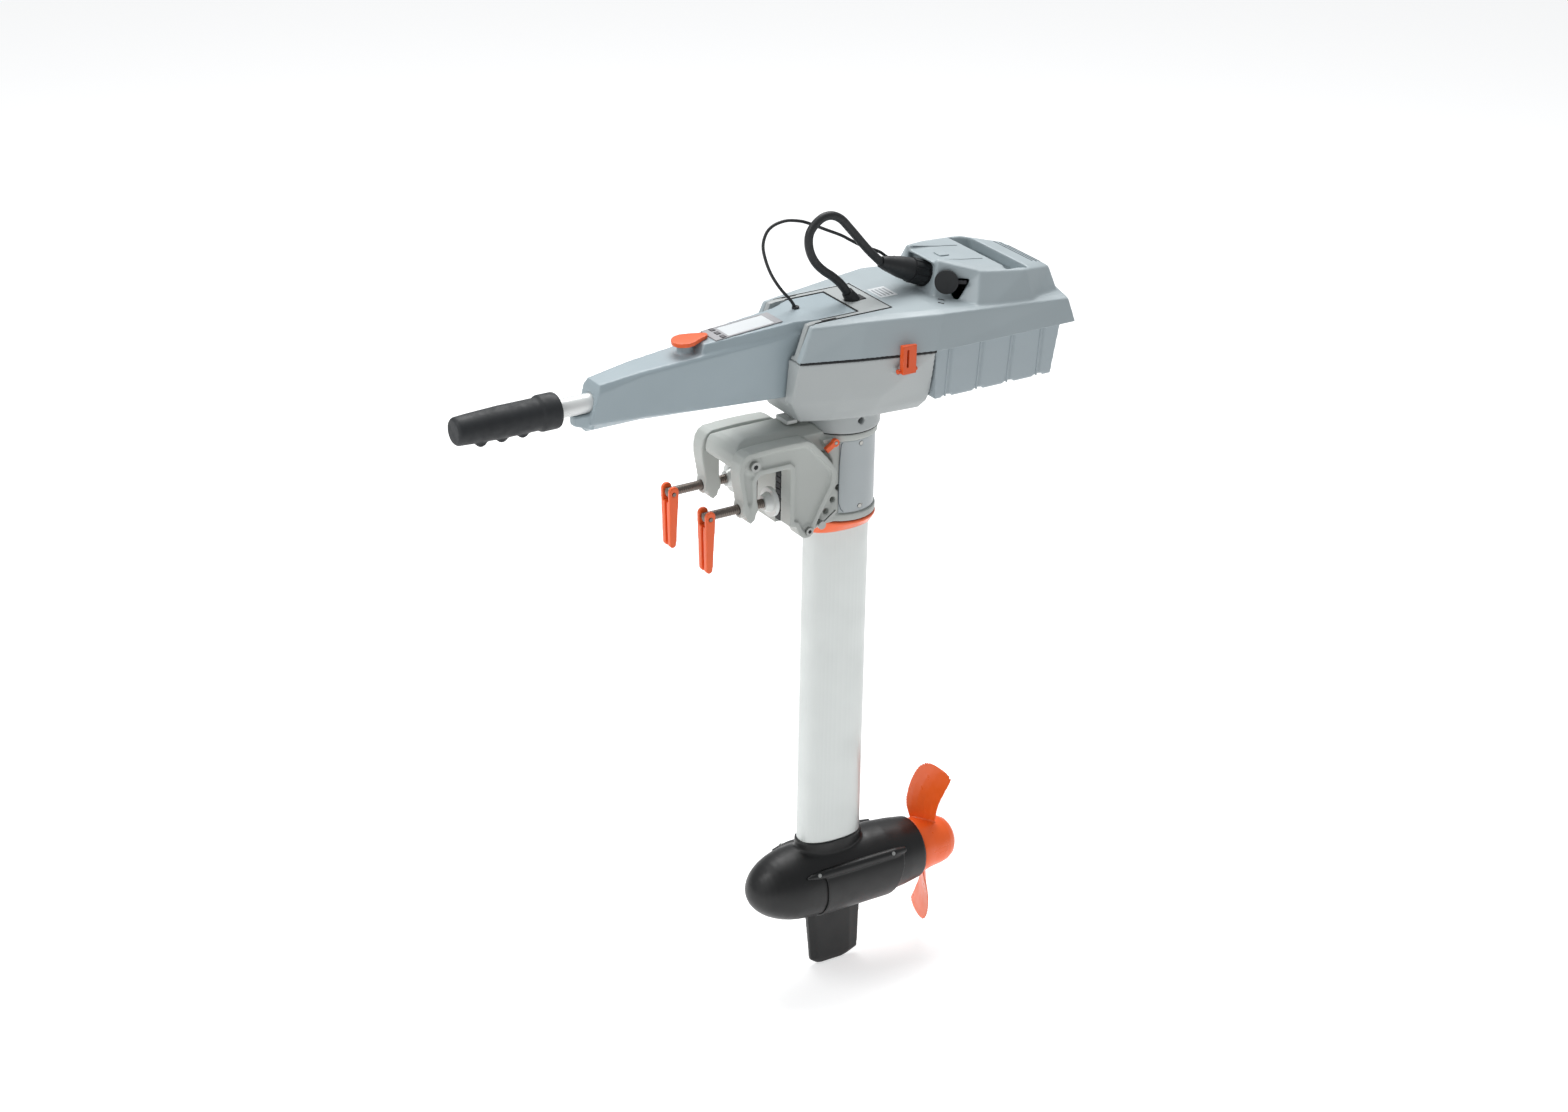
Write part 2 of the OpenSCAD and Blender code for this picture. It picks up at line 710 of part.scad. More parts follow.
function nose(r, x0, x1, steps) = [
    for (i = [0 : steps]) let (t = 90 * i / steps) [r * sin(t), x1 - (x1 - x0) * cos(t)]
];
module along_pod() {
    translate([0, 0, pod_z]) rotate([0, 90, 0]) children();
}
module pod_housing() {
    color(pod_black) difference() {
        union() {
            along_pod() rotate_extrude($fn = 96) polygon(concat(
                nose(pod_r, nose_x, 66, 12),
                [[pod_r, 160], [pod_r - 1, 185], [pod_r - 4, 214], [pod_r - 8, pod_rear], [0, pod_rear]]
            ));
            shaft_section(2.5, pod_z + 35, pod_z + 63);
        }
        along_pod() rotate_extrude($fn = 96) polygon(concat(
            nose(pod_r - 5, 30, 78, 8),
            [[pod_r - 5, 190], [pod_r - 12, 214], [pod_r - 12, pod_rear + 1], [0, pod_rear + 1]]
        ));
        z_rod(14, pod_z + 30, pod_z + 70, steer_x - 10);
    }
}
// Clamshell round the lower half of the pod, with a ridge along each upper edge, and the skeg
module fin() {
    color(pod_black) difference() {
        union() {
            intersection() {
                x_rod(pod_r + 2.6, 70, 210, 0, pod_z);
                translate([0, 70, 0]) rotate([90, 0, 0]) linear_extrude(140) polygon([
                    [78, pod_z - 60], [182, pod_z - 60], [198, pod_z + 10], [200, pod_z + 28], [74, pod_z + 28]
                ]);
            }
            for (s = [-1, 1])
                translate([0, s * 44, pod_z + 28]) rotate([0, 90, 0]) rotate_extrude($fn = 24) polygon([
                    [0, 46], [2, 47], [4.5, 58], [6.5, 74], [7, 120], [6.5, 186], [4, 203], [0, 204]
                ]);
            skin([
                ring([[74, 4, pod_z - 50], [84, 7, pod_z - 50], [140, 7, pod_z - 50], [159, 3, pod_z - 50]]),
                ring([[82, 3, pod_z - 130], [92, 6, pod_z - 130], [142, 6, pod_z - 130], [157, 2.5, pod_z - 130]]),
                ring([[92, 3, pod_z - 137], [98, 5, pod_z - 137], [130, 5, pod_z - 137], [140, 2.5, pod_z - 137]])
            ]);
        }
        x_rod(pod_r + 0.2, 30, 220, 0, pod_z);
    }
}
module motor_end_plates() {
    color("slategray") difference() {
        union() {
            x_rod(pod_r - 5.2, 84, 92, 0, pod_z);
            x_rod(pod_r - 12.1, 224, 238, 0, pod_z);
        }
        x_rod(16, 70, 240, 0, pod_z);
    }
}
module motor_stator() {
    color(copper) difference() {
        x_rod(pod_r - 5.2, 100, 182, 0, pod_z);
        x_rod(30, 99, 183, 0, pod_z);
        for (a = [0 : 30 : 330])
            translate([0, 0, pod_z]) rotate([a, 0, 0]) block([99, -3, 26], [183, 3, 39]);
    }
}
module motor_controller() {
    color("darkgreen") union() {
        block([52, -30, pod_z - 2], [79, 30, pod_z + 2]);
        for (y = [-18, 0, 18])
            block([60, y - 6, pod_z + 2], [76, y + 6, pod_z + 14]);
    }
}
module shaft_bearings() {
    color("silver") for (x = [83, 226])
        difference() {
            x_rod(16, x, x + 10, 0, pod_z);
            x_rod(shaft_r + run_gap, x - 1, x + 11, 0, pod_z);
        }
}
module motor_rotor() {
    color("gray") difference() {
        x_rod(29.2, 102, 180, 0, pod_z);
        x_rod(shaft_r, 101, 181, 0, pod_z);
    }
}
module drive_shaft() {
    color("silver") x_rod(shaft_r, 82, 297, 0, pod_z);
}

// ---- Propeller ----

// Leading and trailing edges of a blade, measured round its arc, at a radius
function lead(r) = lookup(r, [[30, -18], [50, -30], [65, -33], [80, -31], [95, -26], [108, -19], [117, -11],
    [122.5, -2], [125, 10]]);
function trail(r) = lookup(r, [[30, 13], [50, 16], [65, 20], [80, 26], [95, 33], [108, 39], [117, 43],
    [122.5, 44], [125, 34]]);
function blade_point(r, s, n) =
    let (pitch = atan(prop_pitch / (360 / 57.3 * r)), turn = 57.3 * (s * cos(pitch) - n * sin(pitch)) / r)
    [266 + s * sin(pitch) + n * cos(pitch), -r * sin(turn), pod_z + r * cos(turn)];
function blade_ring(r) =
    let (a = lead(r), b = trail(r), thick = mix(3.4, 1.1, (r - 30) / 95), k = prop_r / 125)
    concat(
        [for (i = [0 : 5]) blade_point(r * k, mix(a, b, i / 5) * k, thick * (0.25 + 0.75 * sin(180 * i / 5)))],
        [for (i = [5 : -1 : 0]) blade_point(r * k, mix(a, b, i / 5) * k, -thick * (0.25 + 0.75 * sin(180 * i / 5)))]
    );
module propeller() {
    color(signal_orange) difference() {
        union() {
            along_pod() rotate_extrude($fn = 96) polygon([
                [0, 242], [39, 242], [38, 250], [35.5, 262], [34, 278], [32, 288], [28, 296], [21, 302], [0, 302]
            ]);
            for (b = [0 : blades - 1])
                translate([0, 0, pod_z]) rotate([360 / blades * b, 0, 0]) translate([0, 0, -pod_z])
                    skin([for (r = [30, 42, 54, 66, 78, 90, 100, 109, 116, 121, 124]) blade_ring(r)]);
        }
        x_rod(shaft_r, 230, 310, 0, pod_z);
        x_rod(15, 289, 310, 0, pod_z);
    }
}
module prop_nut() {
    color("silver") difference() {
        translate([289, 0, pod_z]) rotate([0, 90, 0]) cylinder(r = 11, h = 9, $fn = 6);
        x_rod(shaft_r, 280, 305, 0, pod_z);
    }
}

// ---- Tiller ----

tiller_front = ring([[-262, 4, 86], [-262, 17, 99], [-252, 19.5, 138], [-248, 15, 147]]);
tiller_mid = ring([[-190, 10, 89], [-190, 21, 96.5], [-190, 22.5, 151], [-190, 19, 155]]);
tiller_waist = ring([[-110, 16, 86.5], [-110, 24, 91], [-110, 28, 157], [-110, 25, 161]]);
tiller_rear = ring([[11, 18, 80], [11.4, 26, 83], [27, 34, 166], [28, 31, 169]]);
deck_front = ring([[-112, 24, 158], [-104, 18, deck_z(-104)]]);
deck_rear = ring([[28, 33, 160], [28, 28, deck_z(28) - 0.4]]);

module tiller_body() {
    color(shell_blue) difference() {
        union() {
            skin([tiller_front, tiller_mid, tiller_waist, tiller_rear]);
            skin([deck_front, deck_rear]);
            skin([
                ring([[-278, 5, 96], [-278, 7, 108]]),
                ring([[-256, 14, 90], [-252, 18, 112]])
            ]);
            skin([
                ring([[20, 27, 166], [20, 27, deck_z(20) - 0.4]]),
                ring([[50, 39, 172], [50, 39, plate_high]]),
                ring([[104, 39, plate_low], [104, 39, plate_high]])
            ]);
            on_deck(-121) translate([0, 0, -16]) cylinder(r = 10, h = 16);
            y_rod(4, -47, 47, pivot_x, pivot_z);
        }
        skin([
            ring([[-180, 7, 93], [-180, 17, 100.5], [-180, 18.5, 147], [-180, 15, 151]]),
            ring([[-110, 13, 90.5], [-110, 20, 95], [-110, 24, 153], [-110, 21, 157]]),
            ring([[7, 15, 84], [7.4, 22, 87], [22, 30, 162], [23, 27, 165]])
        ]);
        x_rod(tube_r, -300, -170, 0, grip_z);
        on_deck(deck_mid) block([-46, -18, -2], [50, 18, 5]);
        on_deck(deck_mid) block([-43, -16.5, -12], [47, 16.5, 0]);
        translate([44.5, 9, 170]) cylinder(r = 3, h = 20);
    }
}
module display_bezel() {
    color("silver") on_deck(deck_mid) difference() {
        block([-46, -18, -2], [50, 18, 0.8]);
        block([-26, -15, -3], [40, 15, 2]);
        for (y = [-button_step, 0, button_step])
            block([-36.2, y - 4.2, -3], [-29.8, y + 4.2, 2]);
    }
}
module display_glass() {
    color("azure") on_deck(deck_mid) block([-26, -15, -1.2], [40, 15, 0.5]);
}
module display_module() {
    color("darkgreen") on_deck(deck_mid) union() {
        block([-42, -16, -12], [46, 16, -9]);
        block([-26, -15, -9], [40, 15, -1.2]);
    }
}
module grip_tube() {
    color("whitesmoke") difference() {
        x_rod(tube_r, -grip_reach + 6, -172, 0, grip_z);
        x_rod(tube_r - 2.2, -grip_reach + 5, -171, 0, grip_z);
    }
}
module throttle_grip() {
    front = -grip_reach;
    color("black") translate([0, 0, grip_z]) rotate([0, 90, 0]) difference() {
        rotate_extrude() polygon([
            [0, front], [15, front], [17.5, front + 3], [18.5, front + 20], [20, front + 60], [20, front + 110],
            [22.5, front + 114], [22.5, front + 134], [21.5, front + 137], [0, front + 137]
        ]);
        translate([0, 0, front + 5]) cylinder(r = tube_r + run_gap, h = 200);
    }
}
module kill_switch_key() {
    color(signal_orange) on_deck(-121) union() {
        hull() {
            translate([0, 0, 0.3]) cylinder(r = 16.5, h = 5.4, $fn = 32);
            translate([26, 0, 0.3]) cylinder(r = 6, h = 4.6, $fn = 32);
        }
    }
}
module tiller_button(y) {
    color("gray") on_deck(deck_mid) block([-35.8, y - 3.8, -1.9], [-30.2, y + 3.8, 1.6]);
}
module button_port() { tiller_button(-button_step); }
module button_centre() { tiller_button(0); }
module button_starboard() { tiller_button(button_step); }

clamp_arm_port();
clamp_arm_starboard();
transom_plate();
transom_pads();
tilt_bolt();
lower_tie_bolt();
clamp_pad_port();
clamp_pad_starboard();
clamp_screw_port();
clamp_screw_starboard();
clamp_handle_port();
clamp_handle_starboard();
swivel_housing();
swivel_cover();
swivel_cover_screws();
steering_bushes();
tilt_bushes();
trim_pin();
tilt_lock_lever();
steering_lock_pin();
steering_tube();
shaft_tube();
shaft_collar();
head_housing();
head_cover();
cable_gland();
power_cable();
power_plug();
plug_ring();
data_cable();
data_plug();
battery_upper_shell();
battery_lower_shell();
battery_cells();
power_socket();
power_button();
charge_socket();
charge_cap();
battery_latch_port();
battery_latch_starboard();
pod_housing();
fin();
motor_end_plates();
motor_stator();
motor_controller();
shaft_bearings();
motor_rotor();
drive_shaft();
propeller();
prop_nut();
tiller_body();
display_bezel();
display_glass();
display_module();
grip_tube();
throttle_grip();
kill_switch_key();
button_port();
button_centre();
button_starboard();
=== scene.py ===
import json
import math

import bmesh
import bpy
from mathutils import Matrix, Vector
from mathutils.bvhtree import BVHTree


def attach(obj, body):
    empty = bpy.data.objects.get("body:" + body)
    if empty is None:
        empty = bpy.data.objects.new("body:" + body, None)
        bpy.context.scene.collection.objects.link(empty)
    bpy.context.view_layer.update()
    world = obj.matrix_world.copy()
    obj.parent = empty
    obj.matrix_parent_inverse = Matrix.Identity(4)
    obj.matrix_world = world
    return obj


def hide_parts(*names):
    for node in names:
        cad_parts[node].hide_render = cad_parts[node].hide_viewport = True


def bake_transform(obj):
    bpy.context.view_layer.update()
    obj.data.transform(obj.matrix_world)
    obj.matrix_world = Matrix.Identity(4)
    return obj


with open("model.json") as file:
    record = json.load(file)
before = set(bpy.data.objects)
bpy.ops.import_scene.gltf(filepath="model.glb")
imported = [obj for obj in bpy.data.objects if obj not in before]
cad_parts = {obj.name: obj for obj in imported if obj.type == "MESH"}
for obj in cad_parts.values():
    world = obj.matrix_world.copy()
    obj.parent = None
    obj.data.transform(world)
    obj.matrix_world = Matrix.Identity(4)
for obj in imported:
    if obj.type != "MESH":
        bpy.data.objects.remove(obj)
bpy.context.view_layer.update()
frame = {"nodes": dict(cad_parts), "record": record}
NODES = frame["nodes"]
BODY_OF = {n: b for b, ns in frame["record"]["behaviour"]["bodies"].items() for n in ns}
SLOT_OF = {s["node"]: s["material_slot"] for s in frame["record"]["subparts"]}
MM = 0.001
STEER_X = 106
LOCK_Z = 41
SCREW_Y = 44
SCREW_Z = -44
HANDLE_X = -115
scene = bpy.context.scene

# ---- Camera ----

yaw, pitch, roll = math.radians(32.87), math.radians(24.93), math.radians(1.07)
ahead = Vector((math.sin(yaw) * math.cos(pitch), math.cos(yaw) * math.cos(pitch), -math.sin(pitch)))
level = Vector((math.cos(yaw), -math.sin(yaw), 0))
above = level.cross(ahead)
right = level * math.cos(roll) + above * math.sin(roll)
top = above * math.cos(roll) - level * math.sin(roll)
camera = bpy.data.objects.new("camera", bpy.data.cameras.new("camera"))
scene.collection.objects.link(camera)
camera.data.lens = 78.17
camera.data.clip_end = 100
camera.matrix_world = Matrix((
    (right.x, top.x, -ahead.x, -2.1066),
    (right.y, top.y, -ahead.y, -3.3039),
    (right.z, top.z, -ahead.z, 1.680),
    (0, 0, 0, 1),
))
scene.camera = camera

# ---- Mesh tools, in millimetres ----


def to_object(name, points, faces):
    mesh = bpy.data.meshes.new(name)
    mesh.from_pydata([Vector(p) * MM for p in points], [], faces)
    bm = bmesh.new()
    bm.from_mesh(mesh)
    bmesh.ops.remove_doubles(bm, verts=bm.verts, dist=1e-6)
    bmesh.ops.recalc_face_normals(bm, faces=bm.faces)
    bm.to_mesh(mesh)
    bm.free()
    obj = bpy.data.objects.new(name, mesh)
    scene.collection.objects.link(obj)
    return obj


def loft(name, rings):
    n = len(rings[0])
    points = [p for r in rings for p in r]
    faces = [
        (k * n + i, k * n + (i + 1) % n, (k + 1) * n + (i + 1) % n, (k + 1) * n + i)
        for k in range(len(rings) - 1) for i in range(n)
    ]
    faces.append(tuple(range(n - 1, -1, -1)))
    faces.append(tuple((len(rings) - 1) * n + i for i in range(n)))
    return to_object(name, points, faces)


def block(low, high):
    (a, b, c), (d, e, f) = low, high
    return loft("block", [[(x, b, c), (x, e, c), (x, e, f), (x, b, f)] for x in (a, d)])


def along(direction):
    """Two unit vectors square to a direction."""
    d = Vector(direction).normalized()
    side = d.cross(Vector((0, 0, 1)) if abs(d.z) < 0.9 else Vector((1, 0, 0))).normalized()
    return d, side, d.cross(side)


def rod(start, end, radius, sides=48, end_radius=None):
    d, u, v = along(Vector(end) - Vector(start))
    radii = (radius, radius if end_radius is None else end_radius)
    turns = [2 * math.pi * k / sides for k in range(sides)]
    return loft("rod", [
        [Vector(p) + r * (math.cos(t) * u + math.sin(t) * v) for t in turns]
        for p, r in zip((start, end), radii)
    ])


def prism(outline, axis, low, high):
    def place(p, h):
        return {"x": (h, p[0], p[1]), "y": (p[0], h, p[1]), "z": (p[0], p[1], h)}[axis]
    return loft("prism", [[place(p, h) for p in outline] for h in (low, high)])


def curve(route, per=8):
    route = [Vector(p) for p in route]
    out = []
    for i in range(len(route) - 1):
        a, b, c, d = route[max(i - 1, 0)], route[i], route[i + 1], route[min(i + 2, len(route) - 1)]
        for k in range(per):
            t = k / per
            out.append(0.5 * (2 * b + (c - a) * t + (2 * a - 5 * b + 4 * c - d) * t * t
                              + (3 * b - a - 3 * c + d) * t * t * t))
    return out + [route[-1]]


def tube(name, path, radius, sides=24):
    rings = []
    u = None
    for i, p in enumerate(path):
        d = (path[min(i + 1, len(path) - 1)] - path[max(i - 1, 0)]).normalized()
        u = along(d)[1] if u is None else (u - d * u.dot(d)).normalized()
        v = d.cross(u)
        r = radius(i / (len(path) - 1)) if callable(radius) else radius
        rings.append([p + r * (math.cos(2 * math.pi * k / sides) * u + math.sin(2 * math.pi * k / sides) * v)
                      for k in range(sides)])
    return loft(name, rings)


def bake(obj):
    graph = bpy.context.evaluated_depsgraph_get()
    mesh = bpy.data.meshes.new_from_object(obj.evaluated_get(graph), depsgraph=graph)
    obj.modifiers.clear()
    obj.data = mesh
    return obj


def combine(obj, how, tools):
    for t in tools:
        m = obj.modifiers.new("combine", "BOOLEAN")
        m.operation, m.solver, m.object = how, "MANIFOLD", t
    bake(obj)
    for t in tools:
        bpy.data.objects.remove(t)
    return obj


def mould(obj, voxel, rounds):
    m = obj.modifiers.new("cast", "REMESH")
    m.mode, m.voxel_size = "VOXEL", voxel * MM
    m = obj.modifiers.new("round", "SMOOTH")
    m.factor, m.iterations = 0.5, rounds
    return bake(obj)


def shade(obj, angle=35):
    for p in obj.data.polygons:
        p.use_smooth = True
    obj.data.set_sharp_from_angle(angle=math.radians(angle))
    return obj


def put(obj, name, material, body=None, nodes=(), angle=35):
    """Names a piece, gives it its material and body, and hides the CAD nodes it stands for."""
    obj.name = name
    obj.data.materials.clear()
    obj.data.materials.append(material)
    for p in obj.data.polygons:
        p.material_index = 0
    shade(obj, angle)
    if body:
        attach(obj, body)
    if nodes:
        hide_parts(*nodes)
    return obj


def copy_of(node):
    mesh = NODES[node].data.copy()
    bm = bmesh.new()
    bm.from_mesh(mesh)
    bmesh.ops.remove_doubles(bm, verts=bm.verts, dist=2e-6)
    bmesh.ops.dissolve_degenerate(bm, edges=bm.edges, dist=1e-7)
    bm.to_mesh(mesh)
    bm.free()
    obj = bpy.data.objects.new(node + "_cast", mesh)
    scene.collection.objects.link(obj)
    return obj


def recast(node, material, voxel, rounds, adds=(), cuts=(), grooves=(), angle=35):
    """A rounded, moulded version of a CAD node, with added and cut detail."""
    obj = copy_of(node)
    if adds:
        combine(obj, "UNION", adds)
    if cuts:
        combine(obj, "DIFFERENCE", cuts)
    mould(obj, voxel, rounds)
    if grooves:
        combine(obj, "DIFFERENCE", grooves)
    return put(obj, node + "_cast", material, BODY_OF[node], [node], angle)


def surface_of(*hosts):
    """Search tree over the surfaces of moulded pieces, so that fine detail can be laid on them."""
    points, faces = [], []
    for host in hosts:
        start = len(points)
        points += [v.co / MM for v in host.data.vertices]
        faces += [tuple(start + i for i in p.vertices) for p in host.data.polygons]
    return BVHTree.FromPolygons(points, faces)


def seam(name, tree, route, radius, material, body, sides=8, step=1.5, shift=(0, 0, 0)):
    """Lays a thin line on a surface: a rough route is moved to the nearest points of it."""
    spots = []
    for a, b in zip(route, route[1:]):
        a, b = Vector(a), Vector(b)
        n = max(1, round((b - a).length / step))
        spots += [tree.find_nearest(a.lerp(b, k / n))[0] for k in range(n)]
    spots.append(tree.find_nearest(Vector(route[-1]))[0])
    clean = [spots[0]]
    for spot in spots[1:]:
        if (spot - clean[-1]).length > step / 3:
            clean.append(spot)
    even = [clean[0]] + [(a + b * 2 + c) / 4 for a, b, c in zip(clean, clean[1:], clean[2:])] + [clean[-1]]
    return put(tube(name, [p + Vector(shift) for p in even], radius, sides), name, material, body)


def flipped(route, side):
    return [(x, side * y, z) for x, y, z in route]


# ---- Materials ----


def linear(rgb):
    return tuple(((c / 255 + 0.055) / 1.055) ** 2.4 if c > 10 else c / 255 / 12.92 for c in rgb) + (1.0,)


def surface(name, rgb, rough, metallic=0.0, tint=0.05, mottle=9.0, grain=1400.0, grain_bump=0.08,
            spread=0.08, wear=0.25, wear_rgb=None, streak=None, coat=0.0):
    """Moulded, cast or drawn material: colour drift, fine grain, uneven gloss, and worn edges."""
    m = bpy.data.materials.new(name)
    m.use_nodes = True
    nodes, links = m.node_tree.nodes, m.node_tree.links
    shader = nodes["Principled BSDF"]
    shader.inputs["Metallic"].default_value = metallic
    shader.inputs["Coat Weight"].default_value = coat
    shader.inputs["Coat Roughness"].default_value = 0.2
    place = nodes.new("ShaderNodeTexCoord").outputs["Object"]
    if streak:
        stretch = nodes.new("ShaderNodeMapping")
        stretch.inputs["Scale"].default_value = streak
        links.new(place, stretch.inputs["Vector"])
        fine_place = stretch.outputs["Vector"]
    else:
        fine_place = place

    def noise(where, scale, detail):
        t = nodes.new("ShaderNodeTexNoise")
        t.inputs["Scale"].default_value = scale
        t.inputs["Detail"].default_value = detail
        links.new(where, t.inputs["Vector"])
        return t.outputs["Fac"]

    def spanned(value, low, high):
        r = nodes.new("ShaderNodeMapRange")
        r.inputs["From Min"].default_value = 0.3
        r.inputs["From Max"].default_value = 0.7
        r.inputs["To Min"].default_value = low
        r.inputs["To Max"].default_value = high
        links.new(value, r.inputs["Value"])
        return r.outputs["Result"]

    def mixed(fac, a, b):
        x = nodes.new("ShaderNodeMix")
        x.data_type = "RGBA"
        links.new(fac, x.inputs["Factor"])
        for socket, value in ((x.inputs[6], a), (x.inputs[7], b)):
            if isinstance(value, tuple):
                socket.default_value = value
            else:
                links.new(value, socket)
        return x.outputs[2]

    base = linear(rgb)
    dark = tuple(c * (1 - tint) for c in base[:3]) + (1.0,)
    pale = tuple(min(1, c * (1 + tint)) for c in base[:3]) + (1.0,)
    drift = noise(place, mottle, 4.0)
    fine = noise(fine_place, grain, 2.0)
    smudge = noise(place, mottle * 5, 3.0)
    colour = mixed(spanned(drift, 0, 1), dark, pale)
    gloss = spanned(smudge, rough - spread, rough + spread)
    bump = nodes.new("ShaderNodeBump")
    bump.inputs["Strength"].default_value = grain_bump
    bump.inputs["Distance"].default_value = 0.0003
    links.new(fine, bump.inputs["Height"])
    if wear:
        edge = nodes.new("ShaderNodeBevel")
        edge.samples = 4
        edge.inputs["Radius"].default_value = 0.0012
        flat = nodes.new("ShaderNodeNewGeometry")
        dot = nodes.new("ShaderNodeVectorMath")
        dot.operation = "DOT_PRODUCT"
        links.new(edge.outputs["Normal"], dot.inputs[0])
        links.new(flat.outputs["Normal"], dot.inputs[1])
        worn = nodes.new("ShaderNodeMapRange")
        worn.inputs["From Min"].default_value = 0.995
        worn.inputs["From Max"].default_value = 0.80
        worn.inputs["To Min"].default_value = 0.0
        worn.inputs["To Max"].default_value = wear
        links.new(dot.outputs["Value"], worn.inputs["Value"])
        broken = nodes.new("ShaderNodeMath")
        broken.operation = "MULTIPLY"
        links.new(worn.outputs["Result"], broken.inputs[0])
        links.new(spanned(smudge, 0.2, 1.2), broken.inputs[1])
        rubbed = linear(wear_rgb) if wear_rgb else tuple(min(1, c * 1.5 + 0.03) for c in base[:3]) + (1.0,)
        colour = mixed(broken.outputs["Value"], colour, rubbed)
        links.new(edge.outputs["Normal"], bump.inputs["Normal"])
    links.new(colour, shader.inputs["Base Color"])
    links.new(gloss, shader.inputs["Roughness"])
    links.new(bump.outputs["Normal"], shader.inputs["Normal"])
    return m


SHELL = surface("shell_plastic", (168, 179, 183), 0.42, grain=1600, grain_bump=0.10, mottle=6, tint=0.04)
HEAD = surface("head_plastic", (168, 173, 173), 0.42, grain=1600, grain_bump=0.10, mottle=6, tint=0.04)
CAST = surface("bracket_casting", (178, 182, 178), 0.48, grain=700, grain_bump=0.22, mottle=12, tint=0.06,
               wear=0.35)
TILLER = surface("tiller_plastic", (156, 170, 176), 0.40, grain=1600, grain_bump=0.10, mottle=6, tint=0.04)
# Painted shade: a darker copy of the shell plastic, for the lower shell and its ribs.
SHADED_SHELL = surface("shell_plastic_painted_shade", (156, 167, 172), 0.44, grain=1600, grain_bump=0.10, mottle=6, tint=0.04)
COVER = surface("cover_plastic", (172, 179, 181), 0.36, grain=1200, grain_bump=0.06, mottle=6)
ORANGE = surface("orange_plastic", (236, 96, 38), 0.36, grain=1500, grain_bump=0.06, mottle=10, tint=0.08,
                 wear=0.3, wear_rgb=(246, 150, 110))
COLLAR = surface("collar_orange", (244, 108, 60), 0.36, grain=1500, grain_bump=0.06, mottle=10, tint=0.06)
RUBBER = surface("black_rubber", (30, 33, 36), 0.62, grain=1800, grain_bump=0.25, mottle=20, tint=0.12, wear=0.2)
CABLE = surface("cable_rubber", (30, 32, 34), 0.5, grain=1500, grain_bump=0.12, mottle=30, tint=0.12, wear=0)
POD = surface("pod_plastic", (7, 8, 9), 0.42, grain=1300, grain_bump=0.12, mottle=8, tint=0.12, wear=0.25,
              wear_rgb=(90, 92, 94))
STEEL = surface("stainless_steel", (176, 176, 172), 0.28, metallic=1.0, grain=900, grain_bump=0.1, mottle=25,
                streak=(1, 0.2, 1), wear=0)
SCREW = surface("screw_steel", (120, 112, 106), 0.36, metallic=1.0, grain=900, grain_bump=0.2, mottle=60, wear=0)
PAD = surface("pad_metal", (205, 208, 206), 0.36, metallic=0.3, grain=800, grain_bump=0.15, mottle=20)
SHAFT = surface("shaft_aluminium", (207, 211, 209), 0.38, metallic=0.55, grain=700, grain_bump=0.08, mottle=5,
                tint=0.02, streak=(1, 1, 0.03), wear=0)
WHITE = surface("white_tube", (226, 228, 227), 0.34, metallic=0.2, grain=900, grain_bump=0.06, mottle=8, tint=0.02,
                streak=(0.05, 1, 1), wear=0)
PROP = surface("propeller_orange", (252, 102, 34), 0.34, grain=1500, grain_bump=0.05, mottle=10, tint=0.05,
               wear=0.35, wear_rgb=(250, 170, 140))
LATCH = surface("latch_orange", (224, 84, 24), 0.4, grain=1500, grain_bump=0.06, mottle=10, tint=0.08, wear=0.2,
                wear_rgb=(240, 140, 100))
BOLT = surface("bolt_steel", (160, 162, 160), 0.34, metallic=0.85, grain=900, grain_bump=0.15, mottle=50, wear=0)
BEZEL = surface("bezel_plastic", (160, 160, 163), 0.4, grain=1500, grain_bump=0.05, wear=0.1)
MARK = surface("button_mark", (92, 90, 94), 0.5, grain=1500, grain_bump=0.08, wear=0.1)
BUSH = surface("bush_polymer", (222, 216, 200), 0.45, wear=0)
CELLS = surface("cell_wrap", (58, 150, 110), 0.4, wear=0)
BUTTON = surface("button_plastic", (198, 202, 204), 0.4, grain=1500, grain_bump=0.05)
MOTOR = surface("motor_metal", (110, 112, 114), 0.42, metallic=1.0, grain=900, wear=0)
COPPER = surface("copper_winding", (196, 120, 74), 0.4, metallic=1.0, grain=2500, grain_bump=0.5,
                 streak=(1, 0.1, 0.1), wear=0)
BOARD = surface("circuit_board", (28, 84, 52), 0.4, grain=900, wear=0)
GLASS = surface("display_glass", (226, 230, 232), 0.12, grain=300, grain_bump=0.01, mottle=15, tint=0.02,
                wear=0, coat=0.6)

BY_SLOT = {
    "bracket_casting": CAST, "black_rubber": RUBBER, "dark_steel": SCREW, "pad_metal": PAD,
    "orange_plastic": ORANGE, "shell_plastic": SHELL, "head_plastic": HEAD, "stainless_steel": STEEL,
    "bush_polymer": BUSH, "shaft_aluminium": SHAFT, "pod_plastic": POD, "cable_rubber": CABLE,
    "cell_wrap": CELLS, "button_plastic": BUTTON, "motor_metal": MOTOR, "copper_winding": COPPER,
    "circuit_board": BOARD, "display_glass": GLASS, "white_tube": WHITE,
}
for name, obj in NODES.items():
    obj.data.materials.clear()
    obj.data.materials.append(BY_SLOT[SLOT_OF[name]])
for name, material in (
    ("tilt_bolt", BOLT), ("lower_tie_bolt", BOLT), ("trim_pin", BOLT), ("power_button", SHELL),
    ("battery_latch_port", LATCH), ("battery_latch_starboard", LATCH), ("display_bezel", BEZEL),
    ("button_port", MARK), ("button_centre", MARK), ("button_starboard", MARK),
):
    NODES[name].data.materials[0] = material

# ---- Cables ----

